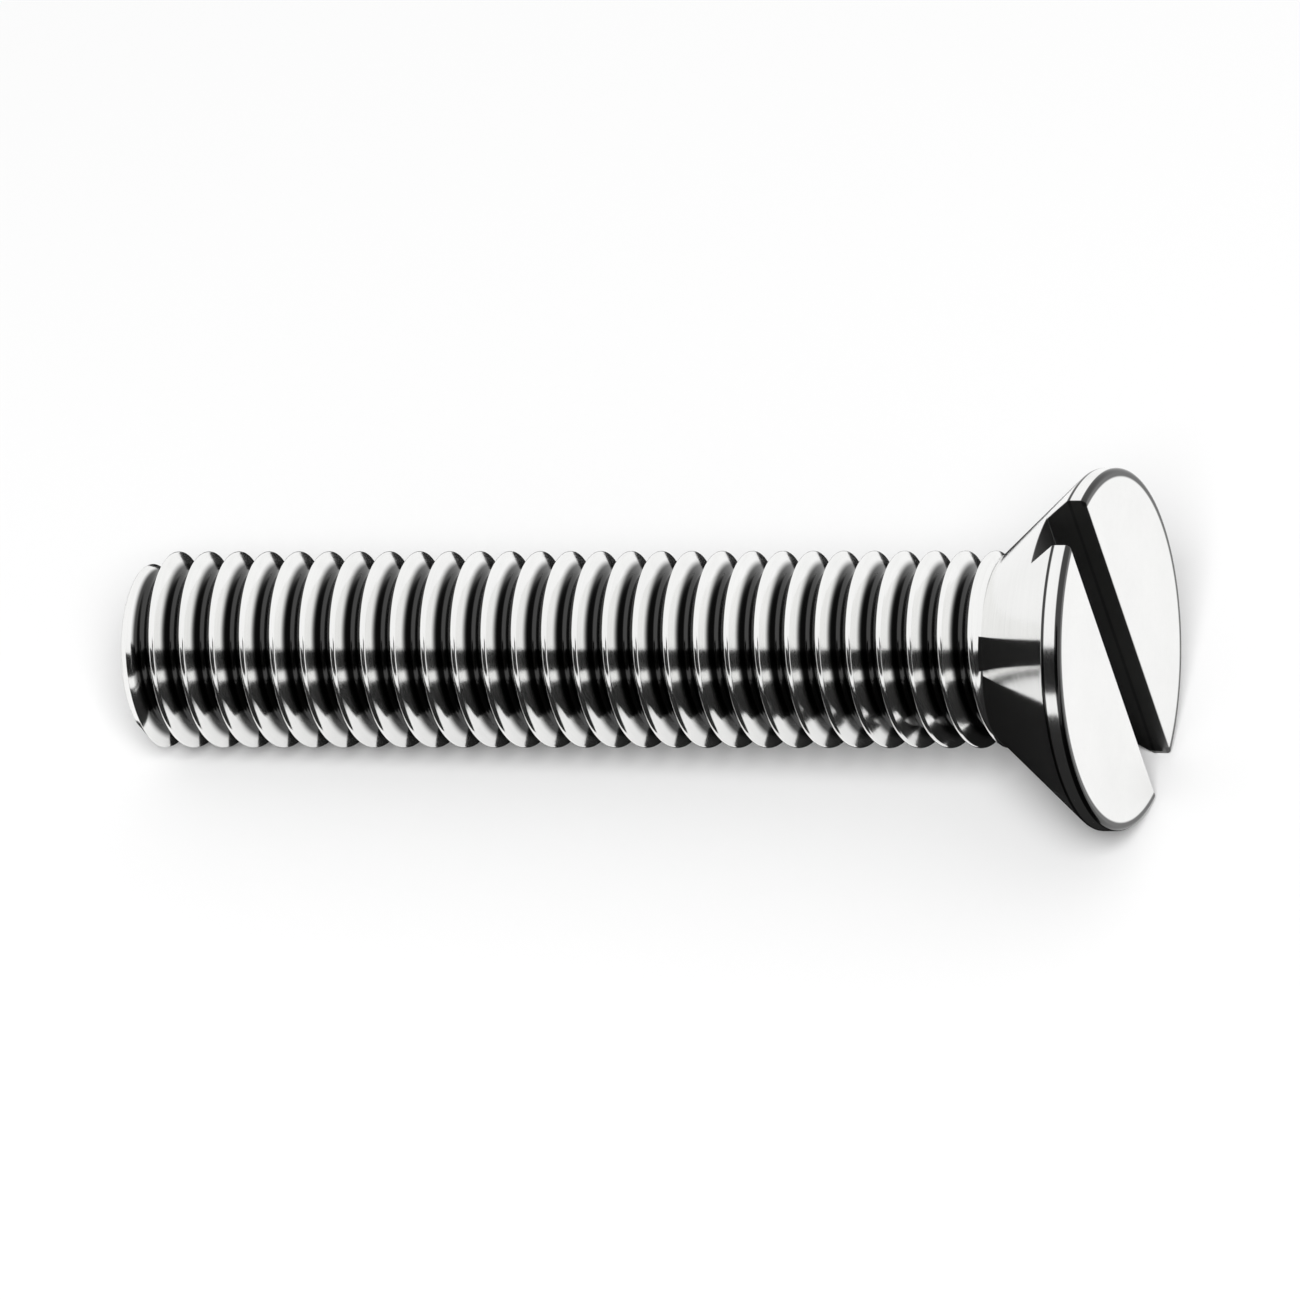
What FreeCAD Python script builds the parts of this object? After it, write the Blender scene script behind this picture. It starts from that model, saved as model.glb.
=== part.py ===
import FreeCAD, Part
import os
from math import atan, ceil, comb, cos, degrees, factorial, pi, radians, sin, sqrt, tan
from FreeCAD import Vector

# Driving dimensions, in millimetres and degrees
inch = 25.4
major_diameter = 0.190 * inch
pitch = 0.03125 * inch
body_undersize = 0.003 * inch
run_out_angle = 45.0
overall_length = 1.000 * inch
head_diameter = 0.349 * inch
head_angle = 82.0
head_land = 0.018 * inch
slot_width = 0.060 * inch
slot_depth = 0.045 * inch
point_chamfer = 0.014 * inch
edge_break = 0.003 * inch

# Thread section, by its three diameters: at the pitch line a ridge is half a pitch wide
crest_radius = major_diameter / 2
pitch_radius = crest_radius - 0.32476 * pitch
root_radius = crest_radius - 0.61343 * pitch
core_radius = root_radius - pitch / 4

# Heights along the screw's own axis, from the point to the head's face
head_radius = head_diameter / 2
body_radius = (major_diameter - body_undersize) / 2
rim_height = overall_length - head_land
cone_foot_height = rim_height - (head_radius - body_radius) / tan(radians(head_angle / 2))
core_height = cone_foot_height - (body_radius - core_radius) / tan(radians(run_out_angle))
thread_end_height = cone_foot_height + pitch / 4
first_crest_height = 0.55 * pitch

# The curve used for one turn of a helix matches this many derivatives at both ends
helix_order = 6


def helix_edge(radius, height):
    """One right-hand turn as a single smooth curve, starting on the X axis at this height.

    A Bezier curve of degree n = 2k + 1 takes its first poles from the derivatives at its start,
    pole i = sum over j <= i of C(i, j) (n - j)! / n! D_j, and its last ones from those at its end.
    A helix repeats every turn, so D_j is the same at both ends apart from one pitch of height.
    """
    degree = 2 * helix_order + 1
    derivatives = [Vector(radius, 0, height)]
    for j in range(1, helix_order + 1):
        size = radius * (2 * pi) ** j
        rise = pitch if j == 1 else 0.0
        derivatives.append(Vector(size * cos(j * pi / 2), size * sin(j * pi / 2), rise))

    def pole(i, sign):
        total = Vector(0, 0, 0)
        for j in range(i + 1):
            weight = comb(i, j) * factorial(degree - j) / factorial(degree)
            total += derivatives[j] * (weight * sign ** j)
        return total

    first = [pole(i, 1) for i in range(helix_order + 1)]
    last = [pole(i, -1) + Vector(0, 0, pitch) for i in reversed(range(helix_order + 1))]
    curve = Part.BezierCurve()
    curve.setPoles(first + last)
    return curve.toShape()


def thread_profile(height):
    """Points (radius, height) of one pitch of the thread, from one root to the next."""
    return [
        (root_radius, height),
        (pitch_radius, height + pitch / 4),
        (crest_radius, height + pitch / 2),
        (pitch_radius, height + 3 * pitch / 4),
        (root_radius, height + pitch),
    ]


def threaded_rod(start, turns):
    """A closed solid of helical bands, one face to a turn for each line of the profile."""
    faces = []
    for turn in range(turns):
        edges = [helix_edge(radius, z) for radius, z in thread_profile(start + turn * pitch)]
        faces += [Part.makeRuledSurface(a, b) for a, b in zip(edges, edges[1:])]
    for end in (start, start + turns * pitch):
        low, high = Vector(0, 0, end), Vector(0, 0, end + pitch)
        faces.append(Part.makeRuledSurface(Part.makeLine(low, high), helix_edge(root_radius, end)))
        section = [low] + [Vector(radius, 0, z) for radius, z in thread_profile(end)] + [high, low]
        faces.append(Part.Face(Part.makePolygon(section)))
    shell = Part.makeShell(faces)
    shell.sewShape()
    rod = Part.makeSolid(shell)
    if rod.Volume < 0:
        rod.reverse()
    return rod


def turned(points):
    """The solid swept about the Z axis by a closed outline of (radius, height) points."""
    outline = Part.makePolygon([Vector(radius, 0, z) for radius, z in points])
    return Part.Face(outline).revolve(Vector(0, 0, 0), Vector(0, 0, 1), 360)


def thread_envelope():
    """What the thread is trimmed to: a chamfered point, and a flat end inside the head's cone."""
    clear = crest_radius + pitch
    return turned([
        (0, 0),
        (crest_radius - point_chamfer, 0),
        (clear, point_chamfer + clear - crest_radius),
        (clear, thread_end_height),
        (0, thread_end_height),
        (0, 0),
    ])


def run_out_and_head():
    """The run-out, where the groove gets shallower up to the cone, then the cone, rim and flat face.

    It starts inside the thread's core and comes out through the root, as steep as the die's chamfer.
    """
    return turned([
        (0, core_height),
        (core_radius, core_height),
        (body_radius, cone_foot_height),
        (head_radius, rim_height),
        (head_radius, overall_length - edge_break),
        (head_radius - edge_break, overall_length),
        (0, overall_length),
        (0, core_height),
    ])


def slot():
    """The straight driving slot, right across the face."""
    length = head_diameter + slot_width
    corner = Vector(-length / 2, -slot_width / 2, overall_length - slot_depth)
    return Part.makeBox(length, slot_width, slot_depth + slot_width, corner)


def upright_screw():
    """The screw along the Z axis, with its point at the origin."""
    start = first_crest_height - 2.5 * pitch
    turns = ceil((thread_end_height - start) / pitch)
    thread = threaded_rod(start, turns).common(thread_envelope())
    return thread.fuse(run_out_and_head()).cut(slot())


def resting(screw):
    """The screw laid down with its head towards +X.

    One end of the slot points straight down, so the head stands on the two corners of that notch,
    and the shank leans until the first crest at the point touches the ground too.
    """
    corner_drop = sqrt(head_radius ** 2 - (slot_width / 2) ** 2)
    lean = degrees(atan((corner_drop - crest_radius) / (rim_height - first_crest_height)))
    screw.Placement = FreeCAD.Placement(Vector(0, 0, 0), FreeCAD.Rotation(Vector(0, 1, 0), 90 - lean))
    box = screw.optimalBoundingBox(True, False)
    screw.translate(Vector(-box.Center.x, -box.Center.y, -box.ZMin))
    return screw


os.makedirs("parts", exist_ok=True)
machine_screw = resting(upright_screw())
machine_screw.exportStep("parts/machine_screw.step")
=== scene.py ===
# %% [markdown]
# A slotted flat head machine screw, lying as it comes to rest.
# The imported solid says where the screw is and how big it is. This lesson puts a finished surface in its
# place: a rolled thread with rounded roots and flat crests, a headed cone, a sawn slot and bright zinc.

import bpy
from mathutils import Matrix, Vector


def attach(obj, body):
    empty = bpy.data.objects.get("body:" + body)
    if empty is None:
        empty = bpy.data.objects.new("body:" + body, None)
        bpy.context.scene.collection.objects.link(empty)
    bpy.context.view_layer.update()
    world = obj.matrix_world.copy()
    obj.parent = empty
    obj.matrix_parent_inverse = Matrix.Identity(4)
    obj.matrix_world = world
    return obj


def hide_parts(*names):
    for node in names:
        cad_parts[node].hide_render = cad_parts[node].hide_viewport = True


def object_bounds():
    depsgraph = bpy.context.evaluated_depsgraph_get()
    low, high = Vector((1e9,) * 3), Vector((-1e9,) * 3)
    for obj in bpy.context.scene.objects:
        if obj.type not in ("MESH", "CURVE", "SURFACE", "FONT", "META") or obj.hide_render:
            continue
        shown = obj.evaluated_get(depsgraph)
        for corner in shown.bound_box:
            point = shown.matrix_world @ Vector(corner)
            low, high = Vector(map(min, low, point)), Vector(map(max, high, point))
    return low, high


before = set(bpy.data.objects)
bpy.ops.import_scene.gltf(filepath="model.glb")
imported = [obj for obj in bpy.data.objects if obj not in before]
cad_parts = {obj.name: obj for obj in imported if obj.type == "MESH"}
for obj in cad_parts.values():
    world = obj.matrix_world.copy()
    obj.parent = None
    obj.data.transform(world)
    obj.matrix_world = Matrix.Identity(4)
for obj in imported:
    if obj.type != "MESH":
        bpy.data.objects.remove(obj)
cad_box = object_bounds()
print("CAD box", [[round(v * 1000, 2) for v in corner] for corner in cad_box])

# %% Modules
import math

import bmesh
import bpy
import numpy as np
from mathutils import Matrix, Vector

# %% [markdown]
# The screw is an inch size, so its dimensions are written as inches. All lengths below are in
# millimetres, measured in the screw's own frame: Z runs along it from the point to the head's face, and
# X is the direction of the slot.

# %% Driving dimensions
inch = 25.4
overall_length = 1.000 * inch
major_radius = 0.190 * inch / 2
pitch = 0.03125 * inch
thread_depth = 0.61343 * pitch
body_radius = 0.187 * inch / 2
run_out_angle = 45.0
head_radius = 0.349 * inch / 2
head_angle = 82.0
head_land = 0.018 * inch
slot_width = 0.060 * inch
slot_depth = 0.045 * inch
point_chamfer = 0.014 * inch
edge_break = 0.003 * inch

# %% Heights along the screw
root_radius = major_radius - thread_depth
rim_height = overall_length - head_land
slot_floor = overall_length - slot_depth
cone_slope = math.tan(math.radians(head_angle / 2))
cone_foot = rim_height - (head_radius - body_radius) / cone_slope
thread_top = cone_foot + 0.2 * pitch
first_crest = 0.55 * pitch
print(f"cone from {cone_foot:.2f} to {rim_height:.2f} mm, slot down to {slot_floor:.2f} mm")

# %% [markdown]
# A loose screw rolls until something stops it. This one has stopped on the two corners of the notch that
# the slot cuts in its rim, with the first crest of the thread touching the table at the other end. The
# lean follows from those two contacts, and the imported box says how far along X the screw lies.

# %% The screw's own frame, in the row frame
notch_drop = math.sqrt(head_radius ** 2 - (slot_width / 2) ** 2)
lean = math.atan((notch_drop - major_radius) / (rim_height - first_crest))
along = np.array([math.cos(lean), 0.0, math.sin(lean)])
across = np.array([0.0, 1.0, 0.0])
down_slot = np.cross(across, along)
face_corner = math.sqrt((head_radius - edge_break) ** 2 - (slot_width / 2) ** 2)
far_end = face_corner * down_slot + overall_length * along
origin = np.array([
    cad_box[1].x * 1000 - far_end[0],
    0.0,
    notch_drop * math.cos(lean) - rim_height * math.sin(lean),
])
print(f"lean {math.degrees(lean):.2f} degrees, point of the screw at {origin.round(3)} mm")


def placed(points):
    """Row-frame metres of own-frame millimetres: origin + x down_slot + y across + z along."""
    turned = points @ np.stack([down_slot, across, along])
    return (turned + origin) / 1000


# %% [markdown]
# The camera comes next, so that every later step can be looked at. The drawing turns the head towards
# the viewer: its face is an ellipse 0.354 as wide as it is high, whose arc sine is 20.7 degrees, and
# the slot crosses that face at 45 degrees. Those two angles fix where the camera stands, and a long lens
# keeps the picture as free of perspective as the drawing is.

# %% Camera
turn_to_viewer = math.radians(20.7)
slot_tilt = math.radians(45)
picture_pixels = 1300
pixels_per_mm = 40.6
axis_pixel_row = 649.5
point_pixel_column = 151.5
camera_distance = 0.9
sensor = 36.0


def pointing(vector):
    """A numpy direction as a unit Vector."""
    return Vector(vector).normalized()


above_screw = -down_slot
aside = -math.cos(slot_tilt) * across + math.sin(slot_tilt) * above_screw
back = pointing(math.sin(turn_to_viewer) * along + math.cos(turn_to_viewer) * aside)
right = pointing(Vector(along) - Vector(along).dot(back) * back)
up = back.cross(right)
metres_per_pixel = 0.001 / pixels_per_mm
middle = picture_pixels / 2
point_centre = Vector(placed(np.zeros(3)))
target = (point_centre + right * (middle - point_pixel_column) * metres_per_pixel
          - up * (middle - axis_pixel_row) * metres_per_pixel)
camera = bpy.data.objects.new("camera", bpy.data.cameras.new("camera"))
bpy.context.scene.collection.objects.link(camera)
camera.matrix_world = Matrix.Translation(target + back * camera_distance) @ Matrix(
    (right, up, back)).transposed().to_4x4()
camera.data.sensor_width = sensor
camera.data.lens = sensor * camera_distance / (picture_pixels * metres_per_pixel)
camera.data.clip_start = 0.01
camera.data.clip_end = 10
bpy.context.scene.camera = camera
print(f"camera {math.degrees(math.asin(back.z)):.1f} degrees up, lens {camera.data.lens:.0f} mm")

# %% [markdown]
# A rolled thread is one section carried along a helix, so it is a function of two numbers: how far round
# the screw a point is, and where it stands between one root and the next. The section here is the inch
# one: crests an eighth of a pitch wide, straight flanks at 30 degrees, and a round root.

# %% One pitch of the thread's section
flank_angle = math.radians(30)
arc_angles = np.radians([0, 20, 40, 60])
root_round = 0.14434 * pitch
crest_round = 0.09 * pitch
crest_half = pitch / 16


def thread_section():
    """Offsets and radii over one pitch, from one root's centre to just before the next.

    The root is an arc, radius = centre - round cos(angle); the crest's corner is an arc that turns by
    60 degrees into the flat; the flank is the straight line between them. The second half is the
    mirror image of the first.
    """
    root_offset = root_round * np.sin(arc_angles)
    root_level = root_radius + root_round * (1 - np.cos(arc_angles))
    corner_angles = arc_angles[::-1]
    corner_reach = crest_round * math.tan(flank_angle)
    corner_offset = pitch / 2 - crest_half + corner_reach - crest_round * np.sin(corner_angles)
    corner_level = major_radius - crest_round * (1 - np.cos(corner_angles))
    half_offset = np.concatenate([root_offset, corner_offset])
    half_level = np.concatenate([root_level, corner_level])
    offset = np.concatenate([half_offset, [pitch / 2], pitch - half_offset[:0:-1]])
    level = np.concatenate([half_level, [major_radius], half_level[:0:-1]])
    return offset, level


section_offset, section_level = thread_section()
columns_per_pitch = len(section_offset)
print(f"{columns_per_pitch} points to a pitch, "
      f"radius {section_level.min():.3f} to {section_level.max():.3f} mm")

# %% [markdown]
# The blank was chamfered at the point. At the other end the dies ran out against the head, so the groove
# gets shallower at 45 degrees until it meets the cone. Both limits depend on the height only. A soft
# minimum and maximum make the places where they meet the thread as round as rolled metal is.

# %% The limits that hold the thread
blend = 0.02
closing_height = 0.1 * pitch


def soft_minimum(a, b):
    """The smaller of two values, rounded where they meet: (a + b - sqrt((a - b)^2 + blend^2)) / 2."""
    return (a + b - np.sqrt((a - b) ** 2 + blend ** 2)) / 2


def soft_maximum(a, b):
    """The larger of two values, rounded in the same way."""
    return -soft_minimum(-a, -b)


def cone_radius(height):
    """The cone's radius at a height."""
    return body_radius + (height - cone_foot) * cone_slope


def held_radius(height, level):
    """The thread's radius at a height: at most the chamfer's, at least the run-out's and the cone's.

    Over the last closing_height it turns into the cone's own radius, so that the head can go on from it.
    """
    chamfer = major_radius - point_chamfer + height
    ridge = np.minimum(soft_minimum(level, chamfer), major_radius)
    run_out = body_radius + (height - cone_foot) / math.tan(math.radians(run_out_angle))
    stem = soft_minimum(run_out, cone_radius(height))
    near_top = np.clip((height - thread_top) / closing_height + 1, 0, 1)
    radius = soft_maximum(ridge, stem)
    return radius + (cone_radius(height) - radius) * near_top


print(f"the chamfer ends at {point_chamfer:.2f} mm, the run-out meets the cone at {cone_foot:.2f} mm")

# %% [markdown]
# The surface is a grid with meridians round the screw and columns that follow the helix, so crests and
# roots stay crisp with few faces. A level ring at each end will take up the columns that end there.

# %% The thread's grid of points
meridians = 160
meridian_angle = 2 * np.pi * np.arange(meridians) / meridians
climb = pitch * meridian_angle / (2 * np.pi)
grid_base = first_crest - 2.5 * pitch
spare_turns = 3
point_round = 0.05
ring_clearance = 0.012


def ring(radius, height):
    """Points at a radius and height, one on each meridian: (r cos a, r sin a, z)."""
    radius = np.broadcast_to(radius, meridians)
    return np.stack([radius * np.cos(meridian_angle), radius * np.sin(meridian_angle),
                     np.full(meridians, height)], 1)


def level_at(height):
    """The section's radius on each meridian at one height, between the section's points."""
    phase = (height - grid_base - climb) % pitch
    return np.interp(phase, np.append(section_offset, pitch), np.append(section_level, section_level[0]))


def thread_grid():
    """The thread's points with its lowest and highest ring, and the number of each grid point or -1.

    A point of meridian i and column j stands at height = base + offset(j) + pitch times angle / 2 pi,
    so column j of the last meridian meets column j + one pitch of the first.
    """
    turns = int(thread_top / pitch) + spare_turns
    offset = (grid_base + pitch * np.arange(turns)[:, None] + section_offset).ravel()
    level = np.tile(section_level, turns)
    height = offset + climb[:, None]
    inside = (height > point_round + ring_clearance) & (height < thread_top - ring_clearance)
    radius = held_radius(height, np.broadcast_to(level, height.shape))
    angle = np.broadcast_to(meridian_angle[:, None], height.shape)
    points = np.stack([radius * np.cos(angle), radius * np.sin(angle), height], 2)[inside]
    low_height = np.full(meridians, point_round)
    low_ring = ring(held_radius(low_height, level_at(point_round)), point_round)
    high_ring = ring(cone_radius(thread_top), thread_top)
    number = np.full((meridians + 1, len(offset)), -1)
    number[:-1][inside] = np.arange(len(points))
    number[-1, :-columns_per_pitch] = number[0, columns_per_pitch:]
    return np.concatenate([points, low_ring, high_ring]), number


thread_points, thread_numbers = thread_grid()
high_ring_start = len(thread_points) - meridians
low_ring_start = high_ring_start - meridians
print(f"thread: {len(thread_points)} points on {meridians} meridians")

# %% [markdown]
# Going round, the helix climbs, so from one meridian to the next a column may start at the bottom or
# stop at the top. Quads fill the grid and join it to the two rings, and one triangle fills the corner
# wherever a column starts or stops, so the head and the point can go on from level rings.

# %% The thread's faces


def woven(number, rings_start):
    """Quads between meridians, then the closing quads and triangles along the two rings."""
    a, b = number[:-1, :-1], number[1:, :-1]
    c, d = number[1:, 1:], number[:-1, 1:]
    whole = (a >= 0) & (b >= 0) & (c >= 0) & (d >= 0)
    quads = np.stack([a, b, c, d], 2)[whole]
    here = np.arange(meridians)
    ring_here = rings_start + here
    ring_next = rings_start + (here + 1) % meridians
    valid = number >= 0
    first = valid.argmax(1)
    last = valid.shape[1] - 1 - valid[:, ::-1].argmax(1)
    low = np.stack([ring_here, ring_next, number[here + 1, first[1:]], number[here, first[:-1]]], 1)
    high = np.stack([number[here, last[:-1]], number[here + 1, last[1:]],
                     ring_next + meridians, ring_here + meridians], 1)
    starts = first[1:] < first[:-1]
    i = here[starts]
    low_corner = np.stack([number[i + 1, first[i + 1]], number[i + 1, first[i]], number[i, first[i]]], 1)
    stops = last[1:] < last[:-1]
    i = here[stops]
    high_corner = np.stack([number[i, last[i] - 1], number[i + 1, last[i + 1]], number[i, last[i]]], 1)
    return [quads, low, high, low_corner, high_corner]


thread_faces = woven(thread_numbers, low_ring_start)
print(f"thread: {sum(len(f) for f in thread_faces)} faces")

# %% [markdown]
# The head is a turned shape, so it could be a revolve, but the slot then has to be cut from it, and a
# cut leaves ragged faces. Here the rows of the head are laid out around the slot from the start: the
# thread's meridians go on up the cone, and from the slot's floor upwards only those of the two halves.
# Every corner of the outline is an arc, as a heading die leaves it, with a row close by on either side.

# %% The head's outline
corner_round = 0.10
edge_round = 1.5 * edge_break
support = 0.05
corner_rows, edge_rows = 6, 7
low_steps, high_steps = 12, 4
cone_angle = math.radians(head_angle / 2)


def arc(centre_radius, centre_height, size, start, end, steps):
    """Radius and height along an arc: centre + size (cos a, sin a), from start to end in degrees."""
    angle = np.radians(np.linspace(start, end, steps))
    return np.stack([centre_radius + size * np.cos(angle), centre_height + size * np.sin(angle)], 1)


def cone_rows(heights):
    """Rows of the cone at these heights."""
    return np.stack([cone_radius(heights), heights], 1)


half_bend = math.tan(cone_angle / 2)
rim_corner = arc(head_radius - corner_round, rim_height + corner_round * half_bend, corner_round,
                 -head_angle / 2, 0, corner_rows)
top_edge = arc(head_radius - edge_round, overall_length - edge_round, edge_round, 0, 90, edge_rows)
low_rows = cone_rows(np.linspace(thread_top, slot_floor, low_steps)[1:])
high_cone = np.linspace(slot_floor, rim_corner[0, 1] - support, high_steps)[1:]
land = np.array([[head_radius, rim_corner[-1, 1] + support], [head_radius, top_edge[0, 1] - support]])
high_rows = np.concatenate([cone_rows(high_cone), rim_corner, land, top_edge])
print(f"head: {len(low_rows)} rows below the slot's floor and {len(high_rows)} above it")

# %% [markdown]
# A row's columns stand where the slot needs them: half of the slot's width is a smaller angle on a
# larger radius, so the columns beside the slot move with the row and keep its walls flat. The walls,
# the floor and the two half faces are each one flat face with its corners on those rows.

# %% The head's surface
slot_half_columns = 5
lobe_ends = np.array([slot_half_columns, meridians // 2 - slot_half_columns,
                      meridians // 2 + slot_half_columns, meridians - slot_half_columns])


def slot_angles(radius):
    """Angles of the columns on a row: the slot's sides are at asin(half width / radius)."""
    side = math.asin(slot_width / 2 / max(radius, cone_radius(slot_floor)))
    stations = [0, *lobe_ends, meridians]
    angles = [0, side, np.pi - side, np.pi + side, 2 * np.pi - side, 2 * np.pi]
    return np.interp(np.arange(meridians), stations, angles)


def head_surface(start):
    """The head as points and faces, its lowest row following the ring that starts at this number."""
    rows = np.concatenate([low_rows, high_rows])
    share = np.clip((rows[:, 1] - cone_foot) / (slot_floor - cone_foot), 0, 1)[:, None]
    aligned = np.stack([slot_angles(radius) for radius in rows[:, 0]])
    angle = meridian_angle + (aligned - meridian_angle) * share
    radius, height = np.broadcast_to(rows.T[:, :, None], (2, *angle.shape))
    points = np.stack([radius * np.cos(angle), radius * np.sin(angle), height], 2)
    number = start + np.arange(meridians * (len(rows) + 1)).reshape(-1, meridians)
    following = np.roll(number, -1, 1)
    quads = np.stack([number[:-1], following[:-1], following[1:], number[1:]], 2)
    floor_row = len(low_rows)
    full = quads[:floor_row].reshape(-1, 4)
    left, right_end, back_left, back_right = lobe_ends
    lobes = np.concatenate([quads[floor_row:, left:right_end], quads[floor_row:, back_left:back_right]], 1)
    top, floor = number[-1], number[floor_row]
    walls = [np.append(number[floor_row:, a], number[floor_row:, b][::-1]) for a, b in (
        (left, right_end), (back_left, back_right))]
    faces = [top[left:right_end + 1], top[back_left:back_right + 1]]
    bottom = [np.concatenate([floor[back_right:], floor[:left + 1], floor[right_end:back_left + 1]])]
    edge_points = np.concatenate([number[floor_row:, lobe_ends].ravel(), bottom[0]])
    return points.reshape(-1, 3), [full, lobes.reshape(-1, 4)], walls + faces + bottom, edge_points


head_points, head_quads, flat_faces, slot_edge_points = head_surface(high_ring_start)
print(f"head: {len(head_points)} points, slot sides {slot_half_columns} columns from its middle line")

# %% [markdown]
# The point of the screw is a sheared end with its edge broken by the chamfer. Two rings turn the edge
# over, and one flat face closes it.

# %% The point
point_insets = np.array([0.015, point_round])
point_heights = np.array([0.015, 0.0])


def point_surface(start):
    """Rings inside the lowest thread ring, moved in and down, and the face that closes the last."""
    low = thread_points[low_ring_start:high_ring_start, :2]
    size = np.linalg.norm(low, axis=1, keepdims=True)
    flat = low * (1 - point_insets[:, None, None] / size)
    height = np.broadcast_to(point_heights[:, None, None], (*flat.shape[:2], 1))
    points = np.concatenate([flat, height], 2).reshape(-1, 3)
    starts = np.array([low_ring_start, start, start + meridians])
    number = starts[:, None] + np.arange(meridians)
    following = np.roll(number, -1, 1)
    quads = np.stack([number[:-1], number[1:], following[1:], following[:-1]], 2).reshape(-1, 4)
    return points, quads, number[-1]


point_points, point_quads, point_face = point_surface(len(thread_points) + len(head_points))
print(f"point: {len(point_insets)} rings and one face of {len(point_face)} corners")

# %% [markdown]
# All the parts share their border rings, so they go into one mesh. Points that the slot left without a
# face are dropped first. The slot's edges are known by number, so a Bevel modifier can break just those
# by the few hundredths of a millimetre that a saw and a plating bath leave, and Weighted Normal keeps
# the flat faces flat beside those narrow strips.

# %% The screw's mesh


def screw_mesh():
    """One closed mesh of every grid, with unused points left out, and where the slot's edges went."""
    points = np.concatenate([thread_points, head_points, point_points])
    faces = [face for grid in [*thread_faces, *head_quads, point_quads] for face in grid.tolist()]
    faces += [face.tolist() for face in [*flat_faces, point_face]]
    used = np.unique(np.concatenate([np.array(face) for face in faces]))
    number = np.full(len(points), -1)
    number[used] = np.arange(len(used))
    mesh = bpy.data.meshes.new("rolled_screw")
    mesh.from_pydata(placed(points[used]), [], [number[face].tolist() for face in faces])
    return mesh, number[slot_edge_points]


mesh, slot_edges = screw_mesh()
sheet = bmesh.new()
sheet.from_mesh(mesh)
bmesh.ops.recalc_face_normals(sheet, faces=sheet.faces)
open_edges = sum(not edge.is_manifold for edge in sheet.edges)
volume = sheet.calc_volume() * 1e9
sheet.to_mesh(mesh)
sheet.free()
mesh.shade_smooth()
screw = bpy.data.objects.new("rolled_screw", mesh)
bpy.context.scene.collection.objects.link(screw)
print(f"screw: {len(mesh.vertices)} points, {len(mesh.polygons)} faces, {open_edges} open edges, "
      f"{volume:.2f} cubic mm")

# %% Broken edges and even shading
slot_edge_break = 0.03
group = screw.vertex_groups.new(name="slot_edges")
group.add(slot_edges.tolist(), 1.0, "REPLACE")
edges = screw.modifiers.new("edge_break", "BEVEL")
edges.limit_method = "VGROUP"
edges.vertex_group = "slot_edges"
edges.width = slot_edge_break / 1000
edges.segments = 3
edges.use_clamp_overlap = False
screw.modifiers.new("even_shading", "WEIGHTED_NORMAL")

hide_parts("machine_screw")
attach(screw, "root")
print(f"{len(set(slot_edges))} points on the slot's edges, broken by {slot_edge_break} mm")

# %% [markdown]
# Zinc plate on steel is nearly a mirror, so what makes it look real is fine: marks that follow the way
# each surface was made. To say that in nodes, a small class wraps a socket, so that a pattern can be
# written as ordinary arithmetic.

# %% Shader arithmetic


class Wire:
    """One socket of a node tree. Arithmetic on wires adds Math nodes, and node() adds any other."""

    def __init__(self, tree, socket=None):
        self.tree = tree
        self.socket = socket

    def node(self, kind, settings=None, inputs=None, output=0):
        """A new node's output: its settings are set first, then the values or links of its sockets."""
        node = self.tree.nodes.new("ShaderNode" + kind)
        for name, value in (settings or {}).items():
            setattr(node, name, value)
        for name, value in (inputs or {}).items():
            if isinstance(value, Wire):
                self.tree.links.new(value.socket, node.inputs[name])
            else:
                node.inputs[name].default_value = value
        return Wire(self.tree, node.outputs[output]) if node.outputs else None

    def maths(self, operation, *values):
        """A Math node on this wire and up to two more values."""
        return self.node("Math", {"operation": operation}, dict(enumerate((self, *values))))

    def __add__(self, other):
        return self.maths("ADD", other)

    def __sub__(self, other):
        return self.maths("SUBTRACT", other)

    def __mul__(self, other):
        return self.maths("MULTIPLY", other)

    def __truediv__(self, other):
        return self.maths("DIVIDE", other)

    def __pow__(self, other):
        return self.maths("POWER", other)

    def __rsub__(self, other):
        return self.maths("MULTIPLY_ADD", -1, other)

    __radd__ = __add__
    __rmul__ = __mul__

    def rise(self, low, high):
        """0 up to low, 1 from high on, and a smooth step between."""
        return self.node("MapRange", {"interpolation_type": "SMOOTHSTEP"},
                         {"Value": self, "From Min": low, "From Max": high})

    def tint(self, first, second):
        """A colour between two, by this wire."""
        return self.node("Mix", {"data_type": "RGBA"}, {0: self, 6: first, 7: second}, 2)

    def parts(self):
        """The x, y and z of a vector."""
        split = self.node("SeparateXYZ", None, {"Vector": self}).socket.node
        return [Wire(self.tree, socket) for socket in split.outputs]


def grey(level):
    """A neutral colour."""
    return (level, level, level, 1.0)


def new_material(name):
    """A material with an empty node tree, and a wire to start it from."""
    material = bpy.data.materials.new(name)
    material.use_nodes = True
    material.node_tree.nodes.clear()
    return material, Wire(material.node_tree)


# %% [markdown]
# Where a mark lies is told by the screw's own coordinates: how far from the axis, how far along it, and
# at which phase of the helix. A Mapping node turns the object's coordinates into them, in millimetres.

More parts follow.
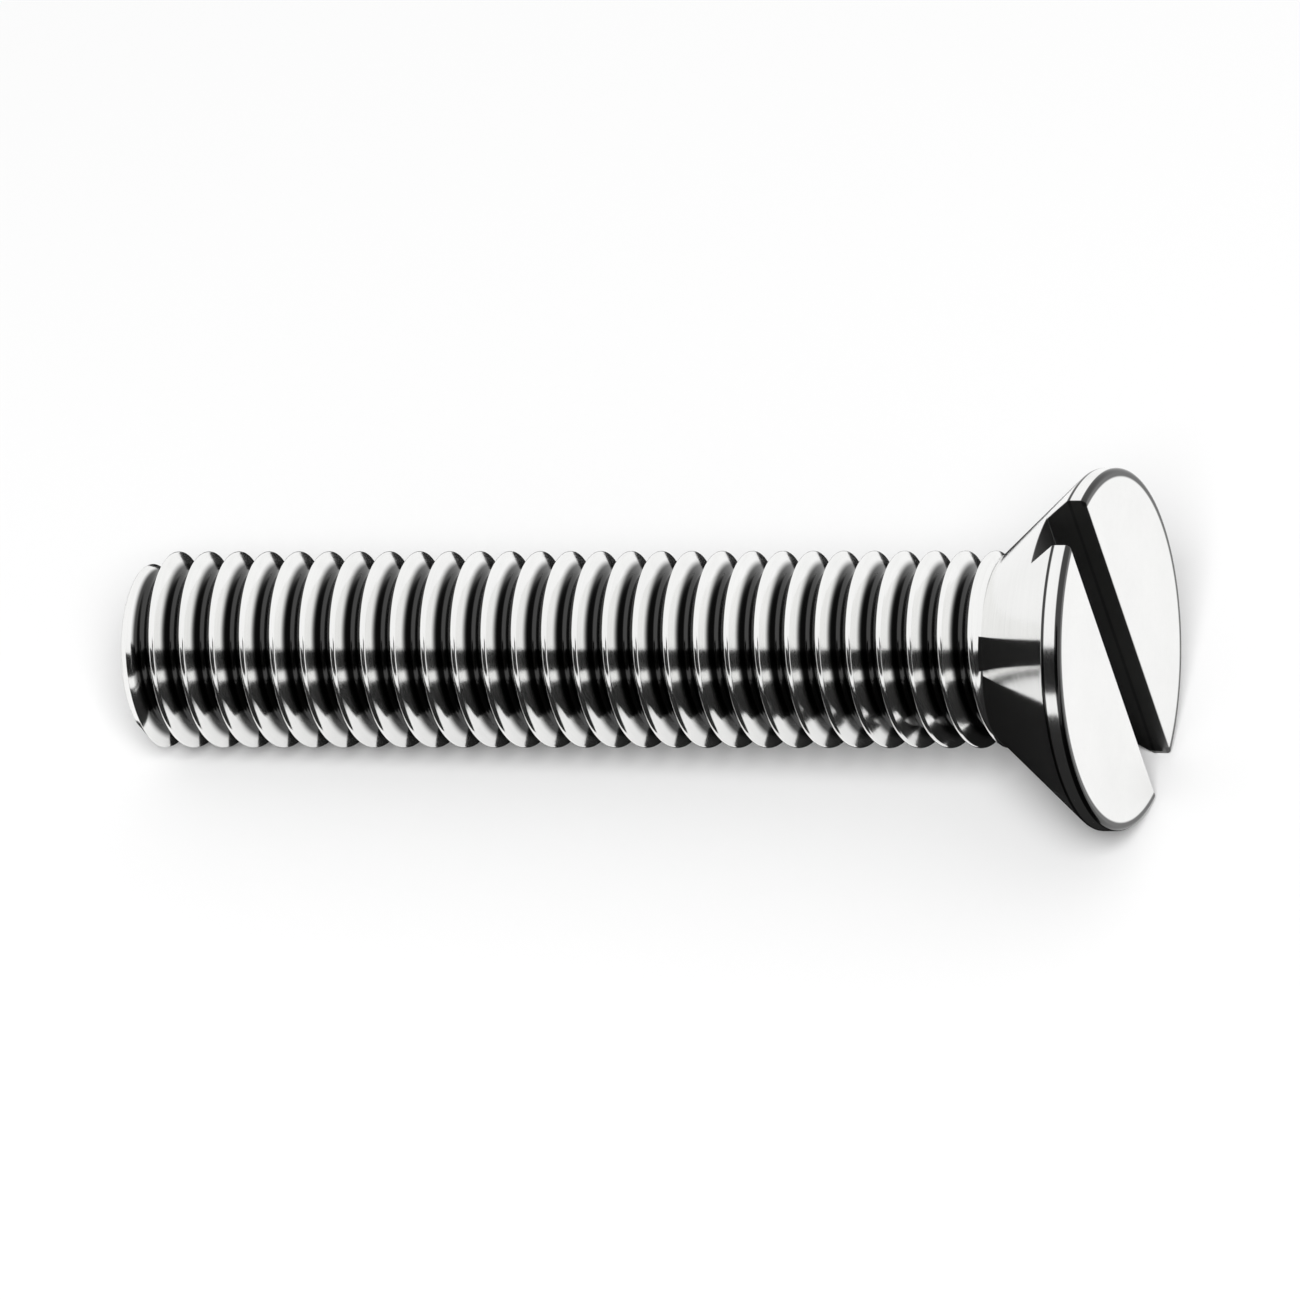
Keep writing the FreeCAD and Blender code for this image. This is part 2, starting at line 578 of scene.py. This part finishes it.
# %% Coordinates of the marks
plate, nodes = new_material("bright_zinc_plate")
own = nodes.node("Mapping", {"vector_type": "TEXTURE"}, {
    "Vector": nodes.node("TexCoord", output="Object"),
    "Location": tuple(origin / 1000),
    "Rotation": (0.0, math.pi / 2 - lean, 0.0),
    "Scale": (0.001, 0.001, 0.001),
})
x, y, z = own.parts()
radius = (x * x + y * y) ** 0.5
beside, ahead = y / radius, x / radius
phase = (z - first_crest) * (2 * math.pi / pitch) - y.maths("ARCTAN2", x)
print(len(plate.node_tree.nodes), "nodes give x, y, z, radius and phase")


def noise(at, along_it, detail):
    """Noise in four dimensions, at three wires and a fourth."""
    vector = at[0].node("CombineXYZ", None, dict(zip("XYZ", at)))
    return vector.node("TexNoise", {"noise_dimensions": "4D"},
                       {"Vector": vector, "W": along_it, "Scale": 1.0, "Detail": detail})


# %% [markdown]
# Each surface keeps the marks of its making. The rolled thread has streaks that run with the helix: they
# are noise that changes fast with the phase and slowly with the turn. The cone and rim have rings from
# the heading die, the face and the sheared point a fine grain, and the slot straight lines from the saw.

# %% Marks of rolling, heading and sawing
line_detail, grain_detail = 3.0, 4.0
streak_across, streak_round, streak_along = 3.5, 1.3, 0.5
streaks = noise([phase.maths("SINE") * streak_across, phase.maths("COSINE") * streak_across,
                 beside * streak_round], ahead * streak_round + z * streak_along, line_detail)
ring_across, ring_round, ring_along = 11, 0.9, 0.3
rings = noise([beside * ring_round, ahead * ring_round, z * ring_along],
              (z + radius) * ring_across, line_detail)
fineness = 6
grain = noise([x * fineness, y * fineness, z * fineness], z, grain_detail)
saw_across, saw_along, saw_drift = 12, 0.5, 0.2
saw_lines = noise([x * saw_along, y * saw_across, z * saw_across], x * saw_drift, line_detail)
blotch_round, blotch_along, blotch_drift = 0.55, 0.4, 0.2
blotches = noise([x * blotch_round, y * blotch_round, z * blotch_along], z * blotch_drift, line_detail)
print("patterns: streaks, rings, grain, saw lines and blotches")

# %% [markdown]
# A mask says which surface a point belongs to: 1 on it and 0 elsewhere, with a step a few hundredths of
# a millimetre wide, so that no pattern ends in a hard line.

# %% Masks of the surfaces


def beyond(wire, level, fade):
    """0 before a level and 1 past it, with the smooth step between two distances from the level."""
    start, end = fade
    return wire.rise(level + start, level + end)


def over(first, second, mask):
    """The first value where the mask is 0 and the second where it is 1."""
    return first + (second - first) * mask


on_head = beyond(z, cone_foot, (-0.1, 0.05))
on_face = beyond(z, overall_length, (-0.02, -0.006))
on_point = 1 - z.rise(0.02, 0.06)
in_slot = ((1 - beyond(y.maths("ABSOLUTE"), slot_width / 2, (-0.004, 0.02)))
           * beyond(z, slot_floor, (-0.04, -0.01)))
grain_swing, grain_floor = 0.6, 0.2
marks = over(over(streaks, rings, on_head), grain * grain_swing + grain_floor, on_face + on_point)
marks = over(marks, saw_lines, in_slot)
print("marks for thread, head, face, point and slot")

# %% [markdown]
# The roots are painted near black, as painted shade that fills the grooves; the crests keep the plate's
# tone. A root's depth is counted from the crest, which the chamfer brings in at the point. Two thin
# dark lines along the rim's two edges are painted shade as well, standing for outlines. The slot is
# painted darker, as shade in it, and it is duller because the saw left it rougher.

# %% Painted shade in the roots, on the rim's edges and in the slot
root_shade_fade = (0.36, 0.72)
crest_here = (z + (major_radius - point_chamfer)).maths("MINIMUM", major_radius)
depth = (crest_here - radius) / (major_radius - root_radius)
# Painted shade: the deeper part of each root is darkened, except on the head and the point.
painted_root_shade = depth.rise(*root_shade_fade) * (1 - on_head) * (1 - on_point)
# Painted shade: a thin dark ring along the face's top edge and one at the rim's corner above the cone, as
# outlines.
painted_face_edge_shade = beyond(radius, head_radius, (-0.24, -0.18)) * beyond(z, overall_length, (-0.13, -0.1))
painted_cone_edge_shade = beyond(z, rim_height, (-0.03, 0)) * (1 - beyond(z, rim_height, (0.05, 0.08)))
# The dark roots and the two lines on the rim are painted shade.
print(f"roots dark from {root_shade_fade[0]:.0%} of their depth, two painted shade lines on the rim")

# %% [markdown]
# The tone of a metal is how much it reflects, and its roughness how sharply. Both vary a little with the
# marks, and over the cloudy blotches of the plating bath. The marks also tilt the reflection, by a bump
# that is one or two thousandths of a millimetre deep.

# %% Bright zinc plate
# The second tone is painted shade, near black, for the roots and the rim's two edges; the third is painted
# shade in the slot.
plate_tone, painted_shade_tone, painted_slot_shade_tone = 0.92, 0.06, 0.12
blotch_floor, mark_floor, swing = 0.93, 0.94, 0.1
tone = over(plate_tone, painted_shade_tone, painted_root_shade)
tone = over(tone, painted_shade_tone, painted_face_edge_shade.maths("MAXIMUM", painted_cone_edge_shade))
# Painted shade: the slot's tone is set dark, for the shade inside it.
tone = over(tone * (blotch_floor + blotches * swing), painted_slot_shade_tone, in_slot)
tone = tone * (mark_floor + marks * swing)
polish, cloudiness, sheared, sawn = 0.08, 0.08, 0.15, 0.42
roughness = polish + marks * swing + (blotches - 0.5) * cloudiness + on_point * sheared
roughness = over(roughness, sawn + marks * swing, in_slot)
zinc_white = (1.0, 1.0, 0.99, 1.0)
colour = tone.tint(grey(0.0), zinc_white)
mark_depth = 0.0000015
bump = nodes.node("Bump", None, {"Height": marks, "Strength": 0.5, "Distance": mark_depth})
surface = nodes.node("BsdfPrincipled", None, {
    "Base Color": colour, "Metallic": 1.0, "Roughness": roughness, "Normal": bump})
nodes.node("OutputMaterial", None, {"Surface": surface})
screw.data.materials.append(plate)
print(f"{plate.name}: {len(plate.node_tree.nodes)} nodes")

# %% [markdown]
# The drawing has no ground and no shadow, only white. Here the floor is pale and keeps a soft shadow,
# and it turns to plain white away from the screw, where only rays from the camera or from a reflection
# see that.

# %% Floor
floor_size = 2.0
floor_grey = grey(0.86)
fade_start, fade_end = 0.02, 0.12


def seen_directly(nodes):
    """1 for rays from the camera, a reflection or glass, and 0 for light that falls on things."""
    paths = nodes.node("LightPath").socket.node.outputs
    camera_ray, glossy, through = (Wire(nodes.tree, paths[name]) for name in (
        "Is Camera Ray", "Is Glossy Ray", "Is Transmission Ray"))
    return camera_ray.maths("MAXIMUM", glossy).maths("MAXIMUM", through)


def flat_sheet(name, corners, material):
    """A flat four-cornered sheet."""
    sheet_mesh = bpy.data.meshes.new(name)
    sheet_mesh.from_pydata(corners, [], [[0, 1, 2, 3]])
    sheet_mesh.materials.append(material)
    sheet_object = bpy.data.objects.new(name, sheet_mesh)
    bpy.context.scene.collection.objects.link(sheet_object)
    return sheet_object


pale, nodes = new_material("pale_floor")
place = nodes.node("TexCoord", output="Object")
away = place.node("VectorMath", {"operation": "LENGTH"}, {"Vector": place}, 1)
painted = nodes.node("BsdfDiffuse", None, {"Color": floor_grey})
white = nodes.node("Emission", None, {"Color": grey(1.0), "Strength": 1.0})
fade = away.rise(fade_start, fade_end) * seen_directly(nodes)
nodes.node("OutputMaterial", None, {
    "Surface": nodes.node("MixShader", None, {0: fade, 1: painted, 2: white})})
half = floor_size / 2
floor_corners = [(-half, -half, 0), (half, -half, 0), (half, half, 0), (-half, half, 0)]
flat_sheet("floor", floor_corners, pale)
print(f"floor {floor_size} m wide, plain white from {fade_end} m on")

# %% [markdown]
# The room is white too, where the camera or a reflection looks at it. What it gives to dull surfaces is
# half of that, and the lamp gives the rest, so that the pale floor stays just below white.

# %% White room
ambient = 0.5
world = bpy.data.worlds.new("white_room")
bpy.context.scene.world = world
world.use_nodes = True
world.node_tree.nodes.clear()
nodes = Wire(world.node_tree)
strength = over(ambient, 1.0, seen_directly(nodes))
nodes.node("OutputWorld", None, {
    "Surface": nodes.node("Background", None, {"Color": grey(1.0), "Strength": strength})})
print(f"white room, strength {ambient} on dull surfaces")

# %% [markdown]
# One square lamp hangs on the camera's side and a little higher, so that the screw's shadow is soft and
# lies mostly behind it. Reflections don't see the lamp, because a bright square would show on every
# crest.

# %% Lamp
lamp_distance = 0.6
lamp_lift = Vector((0.0, 0.0, 0.2))
lamp = bpy.data.objects.new("softbox", bpy.data.lights.new("softbox", "AREA"))
bpy.context.scene.collection.objects.link(lamp)
lamp_side = (back + lamp_lift).normalized()
lamp.matrix_world = (Matrix.Translation(lamp_side * lamp_distance)
                     @ lamp_side.to_track_quat("Z", "Y").to_matrix().to_4x4())
lamp.data.shape = "SQUARE"
lamp.data.size = 0.25
lamp.data.energy = 3.35
lamp.visible_camera = False
lamp.visible_glossy = False
print(f"lamp {lamp_distance} m away, {lamp.data.energy:.2f} W")

# %% [markdown]
# Bright metal shows only what stands around it. The drawing's dark stripe, dark lower half and dark
# outlines are made as a product photographer makes them, with black cards. These are seen by reflections
# only, and cast no shadow. A card that stands along the screw is placed by the angle of the reflection
# that it fills.

# %% Black cards
card_black = grey(0.02)
card_distance = 0.3
card_left, card_right = -0.45, 0.45
black, nodes = new_material("black_card")
nodes.node("OutputMaterial", None, {
    "Surface": nodes.node("BsdfDiffuse", None, {"Color": card_black})})
card_middle = Vector(placed(np.array([0.0, 0.0, overall_length / 2])))
towards_camera = pointing(-math.cos(slot_tilt) * across + math.sin(slot_tilt) * above_screw)


def reflected(angle):
    """Where a surface turned by half this angle from the camera looks: c cos a + u sin a, far out."""
    turned = math.radians(angle)
    side = math.cos(turned) * towards_camera + math.sin(turned) * up
    return card_middle + side * card_distance


def black_card(name, corners, material=black):
    """A card that reflections see and nothing else does."""
    card = flat_sheet(name, corners, material)
    card.visible_camera = False
    card.visible_diffuse = False
    card.visible_shadow = False
    card.visible_transmission = False


def standing_card(name, start, end, left, right_end):
    """A card along the screw, between two reflected angles and two distances from its middle."""
    ends = [Vector(along) * reach for reach in (left, right_end)]
    low, high = reflected(start), reflected(end)
    black_card(name, [low + ends[0], low + ends[1], high + ends[1], high + ends[0]])


stripe_bottom = -28
stripe_joint = 0.1
standing_card("stripe_card", stripe_bottom, 1, card_left, stripe_joint)
standing_card("cone_stripe", stripe_bottom, 16, stripe_joint, card_right)
standing_card("low_card", -45.5, -42, card_left, card_right)
print("three cards stand along the screw")

# %% [markdown]
# More cards lie on the floor, where the lower flanks and the outlines look. Each is a rectangle in the
# row frame, in metres: one in front of the screw, one under it, one behind it and one under the head.

# %% Cards on the floor
card_lift = 0.0001
shank_end = 0.0115
shank_back = 0.003


def lying_card(name, low_corner, high_corner):
    """A card on the floor, between two corners."""
    (left, near), (right_side, far) = low_corner, high_corner
    black_card(name, [(left, near, card_lift), (right_side, near, card_lift),
                      (right_side, far, card_lift), (left, far, card_lift)])


lying_card("near_card", (card_left, -card_distance), (card_right, -0.0038))
lying_card("outline_card", (-0.0165, shank_back), (shank_end, 0.011))
lying_card("under_card", (-0.014, -0.0013), (shank_end, shank_back))
lying_card("head_card", (0.0097, -0.006), (0.0127, 0.008))
print("four cards lie on the floor")

# %% [markdown]
# In the drawing the cone has its own black stripe and black lower half, at other heights than the thread
# beside it. Two small cards stand across the screw where the thread ends. Their backs are clear, so only
# the cone sees them.

# %% One-way cards
one_way, nodes = new_material("one_way_card")
clear_back = nodes.node("NewGeometry", output="Backfacing")
nodes.node("OutputMaterial", None, {"Surface": nodes.node("MixShader", None, {
    0: clear_back,
    1: nodes.node("BsdfDiffuse", None, {"Color": card_black}),
    2: nodes.node("BsdfTransparent")})})
foot_middle = Vector(placed(np.array([0.0, 0.0, cone_foot])))
low_near, low_far, low_top = -0.007, 0.003, 0.0054
black_card("cone_low_card", [(foot_middle.x, side, height) for side, height in (
    (low_near, 0.0), (low_far, 0.0), (low_far, low_top), (low_near, low_top))], one_way)
stripe_near, stripe_far = 0.0045, 0.0023
stripe_low, stripe_high = -0.00055, 0.00032
black_card("cone_stripe_card", [foot_middle + towards_camera * near + up * high for near, high in (
    (stripe_near, stripe_low), (stripe_far, stripe_low),
    (stripe_far, stripe_high), (stripe_near, stripe_high))], one_way)
print(f"two cards face the cone at {foot_middle.x * 1000:.2f} mm")

# %% [markdown]
# The plain view transform shows each tone as it was written.

# %% Colour management
bpy.context.scene.view_settings.view_transform = "Standard"
